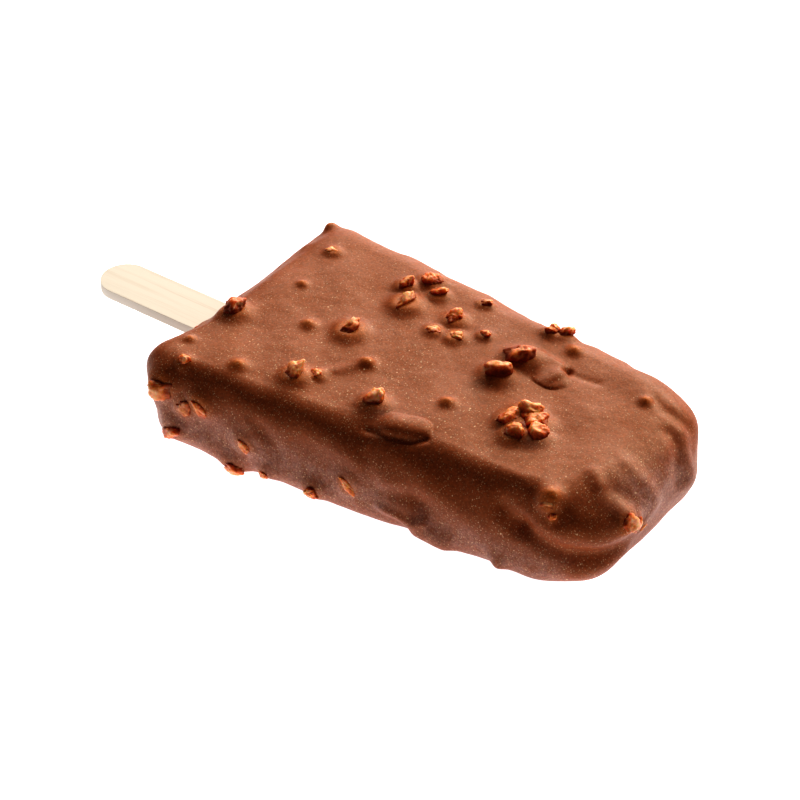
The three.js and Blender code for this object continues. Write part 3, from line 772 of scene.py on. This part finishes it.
chocolateLook = {
    "brown": ("8a4524", "9b522c"),   # in clouds; all sizes in mm
    "cloudSize": 11.0,
    "overChip": "c06c30",            # where it lies thin over a chip
    "overChipShare": 0.85,
    # whitening of frost, and of painted sheen and painted highlights
    "frostAndSheen": "c4a29a",
    "frostAndSheenShare": 0.6,
    "frostAndSheenPatchSize": 1.6,
    "frostAndSheenPatchLevels": (0.38, 0.66),
    "frostAndSheenLeast": 0.4,               # between the patches
    "grainSize": 0.42,
    "grainLevels": (0.33, 0.67),
    "grainShade": (0.76, 1.24),      # times as dark and as light as the brown
    "crystal": "e6c29c",
    # ice crystals: cell, dot radius as a share of it, share of the cells without one, strength
    "crystalDots": [
        (0.36, 0.34, 0.3, 0.9), (0.55, 0.26, 0.22, 1.0), (0.9, 0.18, 0.22, 1.3), (1.7, 0.12, 0.3, 1.6),
    ],
    "crystalDensity": (0.7, 0.5),    # how much the drifts count, and how many lie everywhere
    # more crystals also where sheen and highlights are painted with the frost
    "frostAndSheenCrystals": 0.5,            # how many more in the frost
    "crystalUnevenness": (0.8, 0.2),
    "grainHeight": 0.06,
    "lumpSize": 2.8,
    "lumpHeight": 0.3,
    "roughness": (0.42, 0.54),
    "roughnessLevels": (0.3, 0.7),
}


def makeChocolate():
    # Tempered milk chocolate, dipped and frozen: a soft satin brown full of fine pale ice
    # crystals, whiter where frost has settled and with the same whitening as painted sheen and
    # painted highlights, and warmer where it runs thin over an almond chip.
    look = chocolateLook
    material, tree = newMaterial("dippedMilkChocolate")
    place = addNode(tree, "ShaderNodeTexCoord").outputs["Object"]
    thin, frostAndSheenHere, crystals = addAttributes(tree, "thin", "frostAndSheen", "crystals")
    brown = addMix(tree, addNoise(tree, place, look["cloudSize"], 3.0), *look["brown"])
    warmth = addMath(tree, "MULTIPLY", thin, look["overChipShare"])
    warmed = addMix(tree, warmth, brown, look["overChip"])
    # the frost, and the painted sheen and highlights, lie in broken patches
    patches = addNoise(tree, place, look["frostAndSheenPatchSize"], 4.0, 0.7)
    broken = addRange(tree, patches, look["frostAndSheenPatchLevels"], (look["frostAndSheenLeast"], 1))
    haze = addMath(tree, "MULTIPLY", broken, look["frostAndSheenShare"])
    white = addMath(tree, "MULTIPLY", frostAndSheenHere, haze)
    frostedAndSheened = addMix(tree, white, warmed, look["frostAndSheen"])
    # fine crystalline grain, lighter and darker than the brown
    grain = addNoise(tree, place, look["grainSize"], 2.0, 0.6)
    shade = addRange(tree, grain, look["grainLevels"], look["grainShade"])
    colour = addNode(tree, "ShaderNodeVectorMath", {
        "operation": "SCALE",
    }, {0: frostedAndSheened, "Scale": shade}).outputs[0]
    density = addMath(tree, "MULTIPLY_ADD", crystals, *look["crystalDensity"])
    denser = addMath(tree, "MULTIPLY_ADD", frostAndSheenHere, look["frostAndSheenCrystals"], density)
    for cell, dotSize, missing, strength in look["crystalDots"]:
        cells = addNode(tree, "ShaderNodeTexVoronoi", {"Scale": 1 / (cell * mm)}, {"Vector": place})
        dot = addRange(tree, cells.outputs["Distance"], (0.5 * dotSize, dotSize), (1, 0))
        draws = addNode(tree, "ShaderNodeSeparateColor", links={"Color": cells.outputs["Color"]}).outputs
        often = addMath(tree, "MULTIPLY", denser, draws[0])
        some = addRange(tree, often, (missing, 1), (0, strength))
        uneven = addMath(tree, "MULTIPLY_ADD", draws[1], *look["crystalUnevenness"])
        shown = addMath(tree, "MULTIPLY", some, uneven)
        colour = addMix(tree, addMath(tree, "MULTIPLY", dot, shown), colour, look["crystal"])
    fine = addNode(tree, "ShaderNodeBump", {
        "Strength": 0.4, "Distance": look["grainHeight"] * mm,
    }, {"Height": grain})
    broad = addNode(tree, "ShaderNodeBump", {
        "Strength": 0.4, "Distance": look["lumpHeight"] * mm,
    }, {"Height": addNoise(tree, place, look["lumpSize"], 2.0), "Normal": fine.outputs[0]})
    rough = addRange(tree, patches, look["roughnessLevels"], look["roughness"])
    shader = addNode(tree, "ShaderNodeBsdfPrincipled", {
        "IOR": 1.46, "Specular IOR Level": 0.28, "Specular Tint": toLinear("ffecb4"),
        "Subsurface Weight": 0.15, "Subsurface Radius": (1.0, 0.35, 0.15), "Subsurface Scale": 1.2 * mm,
    }, {"Base Color": colour, "Roughness": rough, "Normal": broad.outputs[0]})
    addNode(tree, "ShaderNodeOutputMaterial", links={"Surface": shader.outputs[0]})
    return material


almondLook = {
    # from the pale top of a chip to its dark foot: its roast, and painted shade towards the foot
    "shades": [(0.18, "f6b884"), (0.3, "ee9456"), (0.42, "d46c34"), (0.56, "a4421c"), (0.76, "601c10")],
    "shadeSpread": 0.4,
    # painted shade: how much darker a point is drawn the deeper it lies towards the chip's foot
    "footShadeShare": 1.4,           # how much the depth of a point counts
    "mottleShare": 0.75,
    "mottleSize": 1.1,          # mm, as the other sizes
    # pale broken edges, partly a painted highlight along them
    "paleEdgeAndHighlight": "f6cfa0",
    "paleEdgeAndHighlightShare": 0.65,
    "paleEdgeAndHighlightLevels": (0.45, 1.0),
    "chocolateFilm": "8c3e1c",
    "filmSmear": 1.4,
    "skinSize": 0.8,
    "skinHeight": 0.2,
    "roughness": (0.33, 0.52),
}


def makeAlmond():
    # Chopped caramelised almond: translucent amber, pale gold on top and along its broken edges,
    # the edges also lightened as a painted highlight; painted shade makes it dark and red towards its
    # foot, where a film of chocolate climbs it.
    look = almondLook
    material, tree = newMaterial("caramelisedAlmond")
    place = addNode(tree, "ShaderNodeTexCoord").outputs["Object"]
    roast, film, edge, footShade = addAttributes(tree, "roast", "film", "edge", "footShade")
    mottle = addNoise(tree, place, look["mottleSize"], 3.0, 0.6)
    depth = addMath(tree, "MULTIPLY_ADD", mottle, look["mottleShare"], roast)
    # painted shade: darker towards the chip's foot, on top of its roast
    lower = addMath(tree, "MULTIPLY_ADD", footShade, look["footShadeShare"], depth)
    spread = addMath(tree, "MULTIPLY", lower, look["shadeSpread"])
    ramp = addNode(tree, "ShaderNodeValToRGB", links={"Fac": spread})
    while len(ramp.color_ramp.elements) < len(look["shades"]):
        ramp.color_ramp.elements.new(0.5)
    for element, (position, shade) in zip(ramp.color_ramp.elements, look["shades"]):
        element.position = position
        element.color = toLinear(shade)
    # pale broken edges, partly a painted highlight along them
    pale = addRange(tree, edge, look["paleEdgeAndHighlightLevels"], (0, look["paleEdgeAndHighlightShare"]))
    edgedAndHighlighted = addMix(tree, pale, ramp.outputs[0], look["paleEdgeAndHighlight"])
    smear = addMath(tree, "MULTIPLY_ADD", mottle, look["filmSmear"], -look["filmSmear"] / 2)
    filmed = addMath(tree, "ADD", film, smear)
    filmed.node.use_clamp = True
    colour = addMix(tree, filmed, edgedAndHighlighted, look["chocolateFilm"])
    bump = addNode(tree, "ShaderNodeBump", {
        "Strength": 0.6, "Distance": look["skinHeight"] * mm,
    }, {"Height": addNoise(tree, place, look["skinSize"], 3.0)})
    rough = addRange(tree, filmed, (0, 1), look["roughness"])
    shader = addNode(tree, "ShaderNodeBsdfPrincipled", {
        "IOR": 1.46, "Specular IOR Level": 0.36, "Specular Tint": toLinear("ffe8c8"),
        "Subsurface Weight": 0.7, "Subsurface Radius": (1.0, 0.34, 0.1), "Subsurface Scale": 1.0 * mm,
    }, {"Base Color": colour, "Roughness": rough, "Normal": bump.outputs[0]})
    addNode(tree, "ShaderNodeOutputMaterial", links={"Surface": shader.outputs[0]})
    return material


birchLook = {
    "cream": ("e3dacb", "dbd1c1"),   # in broad bands
    "fibre": "ccb8a2",
    "fibreShare": 0.5,
    "fibreLevels": (0.5, 0.75),
    "fibreSize": (26, 0.7, 0.9),     # mm along, across and through the stick
    "bandSize": (40, 4, 3),
    "fibreHeight": 0.05,
}


def makeBirch():
    # Sanded birch veneer, rotary cut and unvarnished: pale cream with fine long fibres.
    look = birchLook
    material, tree = newMaterial("sandedBirch")
    place = addNode(tree, "ShaderNodeTexCoord").outputs["Object"]
    stretched = [
        addNode(tree, "ShaderNodeMapping", {
            "Scale": tuple(1 / (length * mm) for length in look[size]),
        }, {"Vector": place}).outputs[0]
        for size in ("fibreSize", "bandSize")
    ]
    fibres = addNode(tree, "ShaderNodeTexNoise", {
        "Scale": 1.0, "Detail": 4.0, "Roughness": 0.6,
    }, {"Vector": stretched[0]})
    bands = addNode(tree, "ShaderNodeTexNoise", {"Scale": 1.0, "Detail": 2.0}, {"Vector": stretched[1]})
    cream = addMix(tree, bands.outputs["Fac"], *look["cream"])
    streak = addRange(tree, fibres.outputs["Fac"], look["fibreLevels"], (0, look["fibreShare"]))
    wood = addMix(tree, streak, cream, look["fibre"])
    bump = addNode(tree, "ShaderNodeBump", {
        "Strength": 0.4, "Distance": look["fibreHeight"] * mm,
    }, {"Height": fibres.outputs["Fac"]})
    shader = addNode(tree, "ShaderNodeBsdfPrincipled", {
        "Roughness": 0.62, "IOR": 1.5,
    }, {"Base Color": wood, "Normal": bump.outputs[0]})
    addNode(tree, "ShaderNodeOutputMaterial", links={"Surface": shader.outputs[0]})
    return material


def cutFlat(piece):
    # the side that it lies on, cut level with the table and closed
    shape = bmesh.new()
    shape.from_mesh(piece.data)
    cut = bmesh.ops.bisect_plane(
        shape, geom=shape.verts[:] + shape.edges[:] + shape.faces[:],
        plane_co=(0, 0, 0), plane_no=(0, 0, 1), clear_inner=True,
    )
    edges = [e for e in cut["geom_cut"] if isinstance(e, bmesh.types.BMEdge)]
    filled = bmesh.ops.contextual_create(shape, geom=edges)["faces"]
    for flat in filled:
        flat.smooth = False
    bmesh.ops.recalc_face_normals(shape, faces=shape.faces[:])
    shape.to_mesh(piece.data)
    shape.free()


def addCoating():
    u, v, w, quads = boxGrid(coating["cells"])
    points = barPoints(u, v, w)
    points += vertexNormals(points, quads) * reliefHeights(points)[:, None]
    placed = placeChips(points, quads)
    collars, thin = chipCollars(points, placed)
    raised = collars + stickCollar(points) + rippleHeights(points)
    points += vertexNormals(points, quads) * raised[:, None]
    piece = newPiece("chocolateCoating", toFrame(points), quads.tolist(), makeChocolate())
    addValues(piece, "thin", thin)
    # frost, and painted sheen and highlights
    addValues(piece, "frostAndSheen", frostAndSheenAmounts(points))
    addValues(piece, "crystals", crystalAmounts(points))
    cutFlat(piece)
    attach(piece, "root")
    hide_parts("coated_bar")
    return placed


def chipForm(directions, seed):
    # a broken lump, cut by flat faces and a little lumpy; also how near each point is to an edge
    terms = []
    nearest, further = chips["cutDepth"]
    for cut in range(chips["cuts"]):
        around = 2 * math.pi * chance(seed + cut)
        up = 2 * (cut + chance(seed + 12 + cut)) / chips["cuts"] - 1
        flat = math.sqrt(1 - up * up)
        facing = np.array((math.cos(around) * flat, math.sin(around) * flat, up))
        depth = nearest + further * chance(seed + 24 + cut)
        terms.append(np.maximum(directions @ facing / depth, 0) ** chips["roundness"])
    terms = np.sort(np.array(terms), axis=0)
    radius = np.minimum(terms.sum(0) ** (-1 / chips["roundness"]), chips["farthest"])
    edge = np.clip(terms[-2] / np.maximum(terms[-1], 1e-9), 0, 1)
    away = Vector((seed, 0.37 * seed, 0))   # each chip has its own stretch of the noise
    for i, direction in enumerate(directions):
        p = Vector(direction) * chips["lumpScale"] + away
        rise = sum(share * noise.noise(finer * p) for finer, share in chips["lumpOctaves"])
        radius[i] *= 1 + chips["lumps"] * rise
    return radius, edge


def addChips(placed):
    ball = bmesh.new()
    bmesh.ops.create_icosphere(ball, subdivisions=chips["fineness"], radius=1)
    directions = np.array([v.co for v in ball.verts])
    directions /= np.linalg.norm(directions, axis=1, keepdims=True)
    triangles = np.array([[v.index for v in f.verts] for f in ball.faces])
    ball.free()
    points, faces, roasts, films, edges, footShades = [], [], [], [], [], []
    for number, chip in enumerate(c for c in placed if c["kind"]):
        seed = chips["firstSeed"] + chips["seedsEach"] * number
        kind, size = chipKinds[chip["kind"]], chip["size"]
        radius, edge = chipForm(directions, seed)
        shape = directions * radius[:, None] * (1, *kind["sides"])
        shape[:, 1:] *= 1 - kind["taper"] * (shape[:, :1] + 1) / 2
        spin = Quaternion((0, 0, 1), math.radians(chip["turn"]))
        lean = Quaternion((0, 1, 0), -math.radians(kind["lean"]))
        facing = Vector((0, 0, 1)).rotation_difference(chip["normal"])
        turn = np.array((facing @ spin @ lean).to_matrix())
        normal = np.array(chip["normal"])
        offset = shape @ turn.T * size / 2 + normal * kind["lift"] * size
        above = offset @ normal / size
        faces.append(triangles + len(directions) * len(points))
        points.append(offset + np.array(chip["place"]))
        roast = kind["roast"] + chips["roastSpread"] * (chance(seed + 37) - 0.5)
        roasts.append(np.full(len(directions), roast))
        films.append(1 - smoothStep((above - kind["film"]) / chips["filmFade"]))
        edges.append(edge)
        # depth below the chip's top, for the painted shade at its foot
        footShades.append(1 - np.clip(above / (kind["lift"] + kind["sides"][1] / 2), 0, 1))
    points = toFrame(np.concatenate(points))
    piece = newPiece("almondChips", points, np.concatenate(faces).tolist(), makeAlmond())
    for name, values in (("roast", roasts), ("film", films), ("edge", edges), ("footShade", footShades)):
        addValues(piece, name, np.concatenate(values))
    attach(piece, "root")
    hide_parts("coated_bar")


def addStick():
    radius, thick = stickSize["width"] / 2, stickSize["thickness"] / 2
    roundEdge, steps = stickSize["edgeRound"], stickSize["edgeSteps"]
    near = -stickSize["showing"] + radius
    far = stickSize["length"] - stickSize["showing"] - radius
    turns = np.linspace(-math.pi / 2, math.pi / 2, stickSize["endSteps"] + 1)
    outX = np.concatenate([np.cos(turns), -np.cos(turns)])
    outY = np.concatenate([np.sin(turns), -np.sin(turns)])
    middleX = np.concatenate([np.full(len(turns), far), np.full(len(turns), near)])
    rings = []
    for side in (-1, 1):
        for step in range(steps + 1):
            angle = math.pi / 2 * (step if side > 0 else steps - step) / steps
            reach = radius - roundEdge * (1 - math.cos(angle))
            height = side * (thick - roundEdge + roundEdge * math.sin(angle))
            level = np.full(len(outX), stickSize["middleHeight"] + height)
            rings.append(np.stack([middleX + outX * reach, outY * reach, level], -1))
    count = len(outX)
    faces = []
    for ring in range(len(rings) - 1):
        lower, upper = ring * count, (ring + 1) * count
        for i in range(count):
            j = (i + 1) % count
            faces.append((lower + i, lower + j, upper + j, upper + i))
    faces.append(tuple(range(count))[::-1])
    faces.append(tuple((len(rings) - 1) * count + i for i in range(count)))
    piece = newPiece("birchStick", toFrame(np.concatenate(rings)), faces, makeBirch())
    for flat in piece.data.polygons[-2:]:
        flat.use_smooth = False
    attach(piece, "root")
    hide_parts("stick")


placed = addCoating()
print("coating dipped")
addChips(placed)
print("almond chips set")
addStick()
print("stick made")
